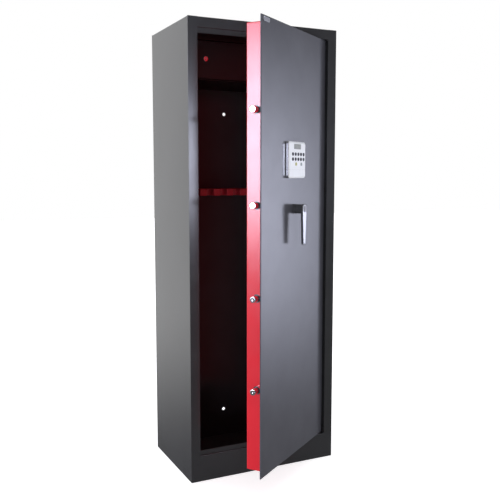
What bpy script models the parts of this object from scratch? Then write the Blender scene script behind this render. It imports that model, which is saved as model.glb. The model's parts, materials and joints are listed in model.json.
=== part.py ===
"""Tall gun safe: sheet-steel cabinet, hinged door with bolt work, keypad lock, rack and ammunition box.

Metres, +Z up. The origin is the centre of the base on the floor and the front faces -Y. The door and
everything on it is drawn as if shut, then swung open about its hinge by one empty on the hinge axis.
"""
import math

import bmesh
import bpy
from mathutils import Matrix, Vector

# ---- driving dimensions -------------------------------------------------------------------------
HEIGHT, WIDTH, DEPTH = 1.500, 0.540, 0.354
SHEET = 0.0025                 # cabinet steel
FIT = 0.0003                   # gap left between pieces that touch
ROUND = 32                     # sides of a round piece
FRAME_SIDE, FRAME_TOP, FRAME_BOTTOM = 0.032, 0.033, 0.088
STOP_HEIGHT, STILE_FOLD = 0.016, 0.011

DOOR_THICK = 0.004
DOOR_GAP, DOOR_GAP_TOP, HINGE_GAP = 0.003, 0.001, 0.004
DOOR_OPEN = math.radians(35.5)
PIN_FROM_EDGE, PIN_DEPTH = 0.022, 0.0125
PIN_R, PIN_SHOULDER_R = 0.004, 0.006
BRACKET_THICK = 0.006

PAN_INSET, PAN_INSET_ENDS, PAN_DEPTH, PAN_SHEET = 0.018, 0.016, 0.059, 0.002
PAN_PAST_HINGE = 0.012

BOLT_R, BOLT_DEPTH, BOLT_THROW, BOLT_TRAVEL = 0.0095, 0.0245, 0.0255, 0.0226
BOLT_HOLE_R, BUSH_FLANGE_R = 0.0130, 0.0165
BOLT_HEIGHTS = (1.200, 0.921, 0.643, 0.361)
BAR_INSET, BAR_THICK = 0.070, 0.004

HANDLE_INSET, HANDLE_Z = 0.2262, 0.9037
LEVER_OUT, LEVER_REACH, LEVER_THICK = 0.0375, 0.112, 0.0078
LEVER_HEAD_R, LEVER_TIP_HALF, NECK_R, BOSS_R, BOSS_OUT = 0.0155, 0.0095, 0.0148, 0.0152, 0.008
CRANK_R = BOLT_TRAVEL / (2 * math.sin(math.radians(45)))
CRANK_PIN_R, SLOT_PLAY = 0.003, 0.0008

KEYPAD_LEFT, KEYPAD_WIDTH = 0.1605, 0.1215
KEYPAD_LOW, KEYPAD_HIGH, KEYPAD_OUT = 1.0015, 1.115, 0.0135
COVER_TOP = 1.0274
KEY_PITCH, KEY_SIZE, KEY_ROWS = 0.0197, (0.0125, 0.0105), (1.0758, 1.0601)
BUTTON_Z, BUTTON_INSETS, BUTTON_R = 1.0450, (0.2090, 0.2475), 0.0055

ANCHORS, ANCHOR_R = ((0.005, 1.236), (-0.001, 0.107)), 0.006
AMMO_FLOOR_Z, AMMO_FRONT, AMMO_SHEET, AMMO_FOLD = 1.3235, -0.077, 0.002, 0.015
AMMO_LOCK_X, AMMO_LOCK_Z, AMMO_LOCK_R = -0.170, 1.390, 0.00925
RACK_FRONT, RACK_LOW, RACK_HIGH = 0.050, 0.938, 0.962
NOTCH_PITCH, NOTCH_COUNT, NOTCH_R, NOTCH_DEPTH = 0.0515, 9, 0.013, 0.040

# ---- places that follow from them ---------------------------------------------------------------
LEFT, RIGHT, FRONT, BACK = -WIDTH / 2, WIDTH / 2, -DEPTH / 2, DEPTH / 2
OPEN_LEFT, OPEN_RIGHT = LEFT + FRAME_SIDE, RIGHT - FRAME_SIDE
OPEN_LOW, OPEN_HIGH = FRAME_BOTTOM, HEIGHT - FRAME_TOP
DOOR_LEFT, DOOR_RIGHT = OPEN_LEFT + DOOR_GAP, OPEN_RIGHT - HINGE_GAP
DOOR_LOW, DOOR_HIGH = OPEN_LOW + DOOR_GAP, OPEN_HIGH - DOOR_GAP_TOP
DOOR_BACK = FRONT + DOOR_THICK
HINGE = Vector((DOOR_RIGHT - PIN_FROM_EDGE, FRONT + PIN_DEPTH, 0))
STOP_FRONT = DOOR_BACK + FIT
STOP_BACK = STOP_FRONT + SHEET
STOP_END = HINGE.x - 0.008
PAN_LEFT, PAN_RIGHT = DOOR_LEFT + PAN_INSET, HINGE.x + PAN_PAST_HINGE
PAN_LOW, PAN_HIGH = DOOR_LOW + PAN_INSET_ENDS, DOOR_HIGH - PAN_INSET_ENDS
PAN_FRONT, PAN_BACK = DOOR_BACK + FIT, FRONT + PAN_DEPTH
BOLT_Y = FRONT + BOLT_DEPTH
BAR_LEFT = DOOR_LEFT + BAR_INSET
BAR_BACK = BOLT_Y + 0.016
HANDLE = Vector((DOOR_LEFT + HANDLE_INSET, FRONT, HANDLE_Z))
CRANK_PIN = HANDLE + CRANK_R * Vector((-math.sin(math.radians(45)), 0, math.cos(math.radians(45))))
SOLENOID = Vector((HANDLE.x - 0.0885, 0, 0.915))
KEYPAD_X0 = DOOR_LEFT + KEYPAD_LEFT
KEYPAD_X1 = KEYPAD_X0 + KEYPAD_WIDTH
KEYPAD_MID = (KEYPAD_X0 + KEYPAD_X1) / 2
KEYPAD_FRONT = FRONT - KEYPAD_OUT
KEYPAD_WALL = 0.003
OVERRIDE = Vector((KEYPAD_MID, FRONT, 1.0140))
HEADER_LOW = OPEN_HIGH - STOP_HEIGHT - 0.0005
AMMO_HINGE = Vector((RIGHT - 0.018, AMMO_FRONT + 0.0075, AMMO_FLOOR_Z))

HOMES = {None: Vector((0, 0, 0))}     # where each joint's empty stands while the door is shut


# ---- materials ----------------------------------------------------------------------------------
def material(name, colour, roughness, metallic=0.0):
    """A plain Principled BSDF."""
    made = bpy.data.materials.new(name)
    made.use_nodes = True
    shader = made.node_tree.nodes["Principled BSDF"]
    shader.inputs["Base Color"].default_value = (*colour, 1)
    shader.inputs["Roughness"].default_value = roughness
    shader.inputs["Metallic"].default_value = metallic
    return made


FINISHES = {
    "cabinet_paint": ((0.030, 0.030, 0.033), 0.45, 0.0),
    "door_paint": ((0.045, 0.045, 0.052), 0.30, 0.0),
    "red_paint": ((0.62, 0.010, 0.030), 0.35, 0.0),
    "black_lining": ((0.010, 0.009, 0.010), 0.60, 0.0),
    "mat_rubber": ((0.010, 0.010, 0.011), 0.80, 0.0),
    "zinc_steel": ((0.55, 0.56, 0.57), 0.35, 1.0),
    "bolt_chrome": ((0.75, 0.76, 0.78), 0.12, 1.0),
    "handle_chrome": ((0.70, 0.71, 0.73), 0.15, 1.0),
    "dark_steel": ((0.05, 0.05, 0.055), 0.40, 1.0),
    "keypad_white": ((0.78, 0.79, 0.80), 0.35, 0.0),
    "keypad_grey": ((0.20, 0.21, 0.23), 0.40, 0.0),
    "key_navy": ((0.012, 0.014, 0.035), 0.35, 0.0),
    "button_olive": ((0.30, 0.27, 0.06), 0.40, 0.0),
    "button_green": ((0.20, 0.25, 0.20), 0.40, 0.0),
    "display": ((0.13, 0.15, 0.15), 0.10, 0.0),
    "brass": ((0.70, 0.52, 0.22), 0.30, 1.0),
    "circuit_board": ((0.02, 0.12, 0.05), 0.50, 0.0),
    "rack_rubber": ((0.20, 0.006, 0.012), 0.80, 0.0),
}


# ---- mesh tools ---------------------------------------------------------------------------------
def finish(name, bm, finish_name, home, at, smooth=False):
    """Turn a bmesh drawn in door-shut coordinates into an object whose origin is `at`."""
    bmesh.ops.translate(bm, vec=-at, verts=bm.verts)
    bmesh.ops.recalc_face_normals(bm, faces=bm.faces)
    mesh = bpy.data.meshes.new(name)
    bm.to_mesh(mesh)
    bm.free()
    if smooth:
        mesh.shade_smooth()
        mesh.set_sharp_from_angle(angle=math.radians(35))
    mesh.materials.append(MATERIALS[finish_name])
    made = bpy.data.objects.new(name, mesh)
    bpy.context.scene.collection.objects.link(made)
    made.location = at - HOMES[home]
    made.parent = bpy.data.objects[home] if home else None
    return made


def axis_empty(name, at, parent=None, turn=0.0):
    """An empty on a joint's axis, placed as with the door shut; `turn` swings what hangs on it."""
    made = bpy.data.objects.new(name, None)
    bpy.context.scene.collection.objects.link(made)
    made.location = at - HOMES[parent]
    made.rotation_euler = (0, 0, turn)
    made.parent = bpy.data.objects[parent] if parent else None
    HOMES[name] = at
    return made


def box(name, low, high, finish_name, home=None, at=None, edge=0.0):
    """A block between two corners, its edges rounded by `edge`."""
    low, high = Vector(low), Vector(high)
    bm = bmesh.new()
    bmesh.ops.create_cube(bm, size=1)
    bmesh.ops.scale(bm, vec=high - low, verts=bm.verts)
    bmesh.ops.translate(bm, vec=(low + high) / 2, verts=bm.verts)
    if edge:
        bmesh.ops.bevel(bm, geom=bm.edges[:], offset=edge, segments=1, affect="EDGES", profile=0.5)
    return finish(name, bm, finish_name, home, at if at is not None else (low + high) / 2)


PLANES = {"X": (1, 2, 0), "Y": (0, 2, 1), "Z": (0, 1, 2)}


def prism(name, outline, axis, start, end, finish_name, home=None, at=None, edge=0.0):
    """An outline drawn across `axis` and pushed along it from start to end."""
    first, second, along = PLANES[axis]
    bm = bmesh.new()
    ring = []
    for across, up in outline:
        place = [0.0, 0.0, 0.0]
        place[first], place[second], place[along] = across, up, start
        ring.append(bm.verts.new(place))
    face = bm.faces.new(ring)
    pushed = bmesh.ops.extrude_face_region(bm, geom=[face])
    shift = Vector((0, 0, 0))
    shift[along] = end - start
    bmesh.ops.translate(bm, vec=shift, verts=[v for v in pushed["geom"] if isinstance(v, bmesh.types.BMVert)])
    if edge:
        ends = [e for e in bm.edges if abs(e.verts[0].co[along] - e.verts[1].co[along]) < 1e-7]
        bmesh.ops.bevel(bm, geom=ends, offset=edge, segments=2, affect="EDGES", profile=0.5)
    middle = sum((v.co for v in bm.verts), Vector()) / len(bm.verts)
    return finish(name, bm, finish_name, home, at if at is not None else middle)


TO_AXIS = {"X": Matrix.Rotation(math.pi / 2, 3, "Y"), "Y": Matrix.Rotation(-math.pi / 2, 3, "X"),
           "Z": Matrix.Identity(3)}


def turned(name, profile, axis, centre, finish_name, home=None, at=None, steps=ROUND):
    """Spin an outline of (radius, place along the axis) points; a radius of 0 closes it on the axis."""
    bm = bmesh.new()
    angles = [2 * math.pi * k / steps for k in range(steps)]
    rings = [[bm.verts.new((r * math.cos(a), r * math.sin(a), t)) for a in (angles if r else [0])]
             for r, t in profile]
    bands = list(zip(rings, rings[1:]))
    if profile[0][0] and profile[-1][0]:
        bands.append((rings[-1], rings[0]))
    for lower, upper in bands:
        for k in range(steps):
            corners = [lower[k % len(lower)], lower[(k + 1) % steps % len(lower)],
                       upper[(k + 1) % steps % len(upper)], upper[k % len(upper)]]
            bm.faces.new(list(dict.fromkeys(corners)))
    bmesh.ops.transform(bm, matrix=TO_AXIS[axis].to_4x4(), verts=bm.verts)
    centre = Vector(centre)
    centre["XYZ".index(axis)] = 0
    bmesh.ops.translate(bm, vec=centre, verts=bm.verts)
    if at is None:
        at = centre.copy()
        at["XYZ".index(axis)] = profile[0][1]
    return finish(name, bm, finish_name, home, at, smooth=True)


def rod(radius, start, end, chamfer=0.0):
    """Outline of a solid round bar from start to end, chamfered at both ends."""
    step = math.copysign(chamfer, end - start)
    if not chamfer:
        return [(0, start), (radius, start), (radius, end), (0, end)]
    return [(0, start), (radius - chamfer, start), (radius, start + step), (radius, end - step),
            (radius - chamfer, end), (0, end)]


def stadium(width, height, centre, steps=8):
    """A rounded oval outline: two half circles joined by straight sides along its longer way."""
    radius = min(width, height) / 2
    across, up = width / 2 - radius, height / 2 - radius
    first = -90 if width >= height else 0
    points = []
    for side in (1, -1):
        for k in range(steps + 1):
            angle = math.radians(first + 180 * k / steps)
            points.append((centre[0] + side * (across + radius * math.cos(angle)),
                           centre[1] + side * (up + radius * math.sin(angle))))
    return points


def rectangle(width, height, centre):
    """A plain rectangle about its centre."""
    x, z = centre[0], centre[1]
    return [(x - width / 2, z - height / 2), (x + width / 2, z - height / 2),
            (x + width / 2, z + height / 2), (x - width / 2, z + height / 2)]


def rounded_rectangle(x0, z0, x1, z1, radius, steps=4):
    """A rectangle outline with round corners."""
    points = []
    for cx, cz, first in ((x1 - radius, z0 + radius, -90), (x1 - radius, z1 - radius, 0),
                          (x0 + radius, z1 - radius, 90), (x0 + radius, z0 + radius, 180)):
        for k in range(steps + 1):
            angle = math.radians(first + 90 * k / steps)
            points.append((cx + radius * math.cos(angle), cz + radius * math.sin(angle)))
    return points


def boolean(target, other, operation):
    """Cut `other` from the target, or weld it on, and keep it as a wire guide."""
    step = target.modifiers.new(operation.lower() + "_" + other.name, "BOOLEAN")
    step.operation = operation
    step.solver = "EXACT"
    step.object = other
    other.hide_render = True
    other.display_type = "WIRE"


def drill(target, axis, centre, radius, start, end, home=None):
    """A round hole."""
    name = "guide_{}_{}".format(target.name, len(target.modifiers))
    boolean(target, turned(name, rod(radius, start, end), axis, centre, "zinc_steel", home), "DIFFERENCE")


def slot(target, outline, axis, start, end, home=None):
    """A hole of any outline."""
    name = "guide_{}_{}".format(target.name, len(target.modifiers))
    boolean(target, prism(name, outline, axis, start, end, "zinc_steel", home), "DIFFERENCE")


# ---- cabinet ------------------------------------------------------------------------------------
def cabinet_panels():
    """Sides, top, base and back, each a sheet standing FIT away from its neighbours."""
    inner = WIDTH / 2 - SHEET
    front, back = FRONT + SHEET + FIT, BACK - SHEET - FIT
    box("side_left", (LEFT, front, 0), (-inner, back, HEIGHT), "cabinet_paint")
    box("side_right", (inner, front, 0), (RIGHT, back, HEIGHT), "cabinet_paint")
    box("top_panel", (FIT - inner, front, HEIGHT - SHEET), (inner - FIT, back, HEIGHT), "cabinet_paint")
    box("base_panel", (FIT - inner, front, 0), (inner - FIT, back, SHEET), "cabinet_paint")
    panel = box("back_panel", (LEFT, BACK - SHEET, 0), (RIGHT, BACK, HEIGHT), "cabinet_paint")
    for across, height in ANCHORS:
        drill(panel, "Y", (across, 0, height), ANCHOR_R, BACK - 0.01, BACK + 0.01)
    box("floor_mat", (FIT - inner + 0.004, FRONT + 0.028, SHEET + FIT), (inner - 0.004, back - 0.004, 0.0065),
        "mat_rubber", edge=0.001)


def front_frame():
    """Two stiles folded back beside the door opening, and two rails folded back and in again as door stops.

    The thrown bolts reach behind the left stile's fold.
    """
    inner = FRONT + SHEET
    left = prism(
        "stile_left",
        [(LEFT, FRONT), (LEFT, inner), (OPEN_LEFT - SHEET, inner), (OPEN_LEFT - SHEET, FRONT + STILE_FOLD),
         (OPEN_LEFT, FRONT + STILE_FOLD), (OPEN_LEFT, FRONT)], "Z", 0, HEIGHT, "cabinet_paint")
    right = prism(
        "stile_right",
        [(OPEN_RIGHT, FRONT), (OPEN_RIGHT, FRONT + 0.027), (OPEN_RIGHT + SHEET, FRONT + 0.027),
         (OPEN_RIGHT + SHEET, inner), (RIGHT, inner), (RIGHT, FRONT)], "Z", 0, HEIGHT, "cabinet_paint")
    for stile in (left, right):
        for z0, z1 in ((-0.01, SHEET + FIT), (HEIGHT - SHEET - FIT, HEIGHT + 0.01)):
            notch = box("guide_{}_{}".format(stile.name, len(stile.modifiers)), (LEFT - 0.01, inner + 0.0001, z0),
                        (RIGHT + 0.01, inner + 0.05, z1), "zinc_steel")
            boolean(stile, notch, "DIFFERENCE")
    for name, outer, edge, side in (("rail_top", HEIGHT, OPEN_HIGH, 1), ("rail_bottom", 0, OPEN_LOW, -1)):
        fold, lip = edge + side * SHEET, edge - side * STOP_HEIGHT
        outline = [(FRONT, edge), (FRONT, outer), (inner, outer), (inner, fold), (STOP_BACK, fold),
                   (STOP_BACK, lip), (STOP_FRONT, lip), (STOP_FRONT, edge)]
        rail = prism(name, outline, "X", OPEN_LEFT + FIT, OPEN_RIGHT - FIT, "cabinet_paint")
        notch = box("guide_" + name, (STOP_END, STOP_FRONT - 0.0005, min(fold, lip) - 0.01),
                    (OPEN_RIGHT + 0.01, STOP_BACK + 0.01, max(fold, lip) + 0.01), "zinc_steel")
        boolean(rail, notch, "DIFFERENCE")


def hinge_fittings():
    """A bracket behind each rail and the shouldered pin that it holds, pointing into the door."""
    for name, fold, side, pan in (("top", OPEN_HIGH + SHEET, 1, PAN_HIGH), ("bottom", OPEN_LOW - SHEET, -1, PAN_LOW)):
        near, far = fold + side * FIT, fold + side * (FIT + BRACKET_THICK)
        bracket = box("hinge_bracket_" + name, (HINGE.x - 0.026, FRONT + SHEET + FIT, min(near, far)),
                      (OPEN_RIGHT - 0.0008, FRONT + 0.037, max(near, far)), "zinc_steel", edge=0.0008)
        drill(bracket, "Z", HINGE, PIN_R + FIT, min(near, far) - 0.01, max(near, far) + 0.01)
        shoulder = pan + side * (FIT if side < 0 else 0.0020)
        tip = pan - side * 0.015
        turned("hinge_pin_" + name,
               [(0, far), (PIN_R, far), (PIN_R, fold), (PIN_SHOULDER_R, fold), (PIN_SHOULDER_R, shoulder),
                (PIN_R, shoulder), (PIN_R, tip + side * 0.001), (PIN_R - 0.001, tip), (0, tip)],
               "Z", HINGE, "zinc_steel", steps=24)


def gun_rack():
    """A thick comb screwed to the back panel; barrels stand in its notches."""
    back = BACK - SHEET - FIT
    half = WIDTH / 2 - SHEET - 0.005
    outline = [(-half, back), (-half, RACK_FRONT)]
    for k in range(NOTCH_COUNT):
        middle = (k - (NOTCH_COUNT - 1) / 2) * NOTCH_PITCH
        outline.append((middle - NOTCH_R, RACK_FRONT))
        bottom = RACK_FRONT + NOTCH_DEPTH - NOTCH_R
        for step in range(9):
            angle = math.pi - math.pi * step / 8
            outline.append((middle + NOTCH_R * math.cos(angle), bottom + NOTCH_R * math.sin(angle)))
        outline.append((middle + NOTCH_R, RACK_FRONT))
    outline += [(half, RACK_FRONT), (half, back)]
    prism("gun_rack", outline, "Z", RACK_LOW, RACK_HIGH, "rack_rubber")


def ammunition_box():
    """A shelf under the cabinet's top, shut by a flap below a fixed header, with a pin, a strike and a cam lock."""
    inner = WIDTH / 2 - SHEET - FIT
    back = BACK - SHEET - FIT
    near, far = AMMO_FRONT, AMMO_FRONT + AMMO_FOLD
    box("ammo_floor", (-inner, near, AMMO_FLOOR_Z - AMMO_SHEET), (inner, back, AMMO_FLOOR_Z), "black_lining")
    low, high = AMMO_FLOOR_Z + 0.003, HEADER_LOW - 0.003
    axis_empty("ammo_hinge_axis", AMMO_HINGE)
    flap = prism("ammo_door",
                 [(near, low), (near, high), (far, high), (far, high - AMMO_SHEET),
                  (near + AMMO_SHEET, high - AMMO_SHEET), (near + AMMO_SHEET, low + AMMO_SHEET),
                  (far, low + AMMO_SHEET), (far, low)],
                 "X", LEFT + 0.008, RIGHT - 0.010, "black_lining", "ammo_hinge_axis")
    drill(flap, "Z", AMMO_HINGE, 0.0028, low - 0.01, high + 0.01, "ammo_hinge_axis")
    drill(flap, "Y", (AMMO_LOCK_X, 0, AMMO_LOCK_Z), 0.0070, near - 0.01, near + 0.01, "ammo_hinge_axis")
    turned("ammo_hinge_pin", rod(0.0025, AMMO_FLOOR_Z + FIT, HEADER_LOW - FIT, 0.0005), "Z", AMMO_HINGE,
           "zinc_steel", steps=16)

    strike_front = far + 0.0005
    strike_back = strike_front + AMMO_SHEET
    top = HEIGHT - SHEET - FIT
    header = prism("ammo_header",
                   [(near, HEADER_LOW), (near, top), (near + AMMO_SHEET, top),
                    (near + AMMO_SHEET, HEADER_LOW + AMMO_SHEET), (strike_back, HEADER_LOW + AMMO_SHEET),
                    (strike_back, HEADER_LOW)], "X", -inner, inner, "black_lining")
    strike = box("guide_ammo_strike", (AMMO_LOCK_X - 0.052, strike_front, AMMO_LOCK_Z - 0.015),
                 (AMMO_LOCK_X - 0.034, strike_back, HEADER_LOW + AMMO_SHEET / 2), "black_lining")
    boolean(header, strike, "UNION")

    lock = Vector((AMMO_LOCK_X, near, AMMO_LOCK_Z))
    axis_empty("ammo_lock_axis", lock, "ammo_hinge_axis")
    shaft_end = strike_back + 0.0005
    barrel = turned("ammo_lock",
                    [(0, near - 0.003), (AMMO_LOCK_R - 0.0015, near - 0.003), (AMMO_LOCK_R, near - 0.0015),
                     (AMMO_LOCK_R, near - FIT), (0.0066, near - FIT), (0.0066, shaft_end), (0, shaft_end)],
                    "Y", lock, "bolt_chrome", "ammo_lock_axis")
    slot(barrel, rectangle(0.0016, 0.0070, (lock.x, lock.z)), "Y", near - 0.01, near + 0.002, "ammo_lock_axis")
    cam_front = shaft_end + FIT
    reach = lock.z - 0.0215
    prism("ammo_cam", stadium(0.014, 0.057, (lock.x, reach), 6), "Y", cam_front, cam_front + AMMO_SHEET,
          "zinc_steel", "ammo_lock_axis", at=lock)


# ---- door ---------------------------------------------------------------------------------------
def door_shell():
    """The front plate and the folded bolt-work housing behind it."""
    plate = box("door_plate", (DOOR_LEFT, FRONT, DOOR_LOW), (DOOR_RIGHT, DOOR_BACK, DOOR_HIGH), "door_paint",
                "door_axis", edge=0.0008)
    drill(plate, "Y", HANDLE, 0.0056, FRONT - 0.01, DOOR_BACK + 0.01, "door_axis")
    drill(plate, "Y", OVERRIDE, 0.0075, FRONT - 0.01, DOOR_BACK + 0.01, "door_axis")
    wall_back = PAN_BACK - PAN_SHEET - FIT
    walls = box("pan_walls", (PAN_LEFT, PAN_FRONT, PAN_LOW), (PAN_RIGHT, wall_back, PAN_HIGH), "red_paint",
                "door_axis")
    hollow = box("guide_pan_hollow", (PAN_LEFT + PAN_SHEET, PAN_FRONT - 0.01, PAN_LOW + PAN_SHEET),
                 (PAN_RIGHT - PAN_SHEET, wall_back + 0.01, PAN_HIGH - PAN_SHEET), "red_paint", "door_axis")
    boolean(walls, hollow, "DIFFERENCE")
    for height in BOLT_HEIGHTS:
        drill(walls, "X", (0, BOLT_Y, height), BOLT_HOLE_R, PAN_LEFT - 0.01, PAN_LEFT + 0.01, "door_axis")
    drill(walls, "Z", HINGE, PIN_R + FIT, PAN_LOW - 0.01, PAN_LOW + 0.01, "door_axis")
    drill(walls, "Z", HINGE, PIN_R + FIT, PAN_HIGH - 0.01, PAN_HIGH + 0.01, "door_axis")
    box("pan_cover", (PAN_LEFT, PAN_BACK - PAN_SHEET, PAN_LOW), (PAN_RIGHT, PAN_BACK, PAN_HIGH), "red_paint",
        "door_axis", edge=0.0006)
    badge = stadium(0.040, 0.013, (DOOR_LEFT + 0.0307, DOOR_HIGH - 0.0108))
    prism("badge", badge, "Y", FRONT - 0.0016, FRONT - FIT, "zinc_steel", "door_axis", edge=0.0004)


def bolt_bushes():
    """A flanged ring behind each of the housing's bolt holes."""
    near = PAN_LEFT + PAN_SHEET + FIT
    inner, step, end = BOLT_R + FIT, near + 0.002, near + 0.010
    for number, height in enumerate(BOLT_HEIGHTS, 1):
        outline = [(inner, near), (BUSH_FLANGE_R, near), (BUSH_FLANGE_R, step), (BOLT_R + 0.003, step),
                   (BOLT_R + 0.003, end), (inner, end)]
        turned("bolt_bush_{}".format(number), outline, "X", (0, BOLT_Y, height), "dark_steel", "door_axis", steps=24)


def bolt_work():
    """The bar that carries the four bolts; a crank pin slides it through its slotted arm."""
    axis_empty("bolt_slide_axis", Vector((PAN_LEFT, BOLT_Y, HANDLE_Z)), "door_axis")
    home = "bolt_slide_axis"
    leg_front = BOLT_Y - 0.012
    leg = [(BAR_LEFT, leg_front), (BAR_LEFT + BAR_THICK, leg_front), (BAR_LEFT + BAR_THICK, BAR_BACK - BAR_THICK),
           (BAR_LEFT + 0.028, BAR_BACK - BAR_THICK), (BAR_LEFT + 0.028, BAR_BACK), (BAR_LEFT, BAR_BACK)]
    bar = prism("bolt_bar", leg, "Z", BOLT_HEIGHTS[-1] - 0.026, BOLT_HEIGHTS[0] + 0.026, "zinc_steel", home)
    arm = box("guide_bolt_bar_arm", (BAR_LEFT + 0.020, BAR_BACK - BAR_THICK, HANDLE_Z - 0.021),
              (CRANK_PIN.x + 0.025, BAR_BACK, HANDLE_Z + 0.039), "zinc_steel", home)
    boolean(bar, arm, "UNION")
    half = CRANK_PIN_R + SLOT_PLAY
    low, high = CRANK_PIN.z - half, HANDLE_Z + CRANK_R + half
    outline = [(CRANK_PIN.x - half, low), (CRANK_PIN.x + half, low), (CRANK_PIN.x + half, high),
               (CRANK_PIN.x - half, high)]
    slot(bar, outline, "Y", BAR_BACK - 0.02, BAR_BACK + 0.01, home)
    drill(bar, "Y", SOLENOID, 0.0046, BAR_BACK - 0.01, BAR_BACK + 0.01, home)
    for number, height in enumerate(BOLT_HEIGHTS, 1):
        turned("bolt_{}".format(number), rod(BOLT_R, PAN_LEFT - BOLT_THROW, BAR_LEFT - FIT, 0.0012), "X",
               (0, BOLT_Y, height), "bolt_chrome", home)


def handle():
    """Boss on the door; lever, neck, cap and cranked spindle that turn together about the handle axis."""
    boss_front = FRONT - BOSS_OUT
    turned("handle_boss", [(0.0083, FRONT - FIT), (BOSS_R, FRONT - FIT), (BOSS_R, boss_front + 0.001),
                           (BOSS_R - 0.001, boss_front), (0.0083, boss_front)], "Y", HANDLE, "dark_steel", "door_axis")
    axis_empty("handle_axis", HANDLE, "door_axis")
    home = "handle_axis"
    face = FRONT - LEVER_OUT
    back = face + LEVER_THICK
    outline = []
    lean = math.asin((LEVER_HEAD_R - LEVER_TIP_HALF) / LEVER_REACH)
    for k in range(21):
        angle = -lean + (math.pi + 2 * lean) * k / 20
        outline.append((HANDLE.x + LEVER_HEAD_R * math.cos(angle), HANDLE_Z + LEVER_HEAD_R * math.sin(angle)))
    for side, first in ((-1, 180), (1, 270)):
        for k in range(4):
            angle = math.radians(first + 30 * k)
            outline.append((HANDLE.x + side * (LEVER_TIP_HALF - 0.003) + 0.003 * math.cos(angle),
                            HANDLE_Z - LEVER_REACH + 0.003 + 0.003 * math.sin(angle)))
    prism("lever", outline, "Y", back, face, "handle_chrome", home, at=HANDLE, edge=0.0012)
    neck_front, neck_back, stem_end = back + FIT, boss_front - 0.0005, FRONT - 0.0005
    turned("handle_neck", [(0, neck_front), (NECK_R, neck_front), (NECK_R, neck_back), (0.0080, neck_back),
                           (0.0080, stem_end), (0, stem_end)], "Y", HANDLE, "dark_steel", home)
    turned("lever_cap", rod(0.0095, face - FIT, face - 0.0018, 0.0005), "Y", HANDLE, "keypad_grey", home)
    start, plate = FRONT - FIT + 0.0004, BAR_BACK - BAR_THICK - 0.003
    spindle = turned("spindle", rod(0.0050, start, plate), "Y", HANDLE, "zinc_steel", home, at=HANDLE)
    hub = [(HANDLE.x + 0.010 * math.cos(math.radians(225 + 22.5 * k)),
            HANDLE_Z + 0.010 * math.sin(math.radians(225 + 22.5 * k))) for k in range(9)]
    end = [(CRANK_PIN.x + 0.006 * math.cos(math.radians(45 + 22.5 * k)),
            CRANK_PIN.z + 0.006 * math.sin(math.radians(45 + 22.5 * k))) for k in range(9)]
    web = prism("guide_spindle_web", hub + end, "Y", plate - 0.005, plate, "zinc_steel", home)
    boolean(spindle, web, "UNION")
    pin = turned("guide_spindle_pin", rod(CRANK_PIN_R, plate - 0.002, BAR_BACK + 0.003), "Y", CRANK_PIN, "zinc_steel",
                 home, steps=20)
    boolean(spindle, pin, "UNION")


def lock_parts():
    """Solenoid with its blocking plunger, the control board and the battery box, inside the housing."""
    half = 0.014
    body = box("solenoid_body", (SOLENOID.x - half, PAN_FRONT, SOLENOID.z - half),
               (SOLENOID.x + half, BAR_BACK - BAR_THICK - 0.0035, SOLENOID.z + half), "zinc_steel", "door_axis",
               edge=0.001)
    drill(body, "Y", SOLENOID, 0.0043, PAN_FRONT + 0.007, BAR_BACK, "door_axis")
    axis_empty("plunger_axis", Vector((SOLENOID.x, BAR_BACK, SOLENOID.z)), "door_axis")
    tip = BAR_BACK - BAR_THICK - 0.0015
    turned("plunger", rod(0.0040, tip - 0.020, tip, 0.0006), "Y", SOLENOID, "bolt_chrome", "plunger_axis", steps=24)
    board_front = DOOR_BACK + 0.006
    box("control_board", (KEYPAD_X0 + 0.014, board_front, 1.028), (KEYPAD_X1 - 0.014, board_front + 0.0016, 1.100),
        "circuit_board", "door_axis")
    box("battery_box", (KEYPAD_X1 + 0.020, PAN_FRONT, 1.020), (KEYPAD_X1 + 0.088, PAN_FRONT + 0.019, 1.083),
        "keypad_grey", "door_axis", edge=0.002)


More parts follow.
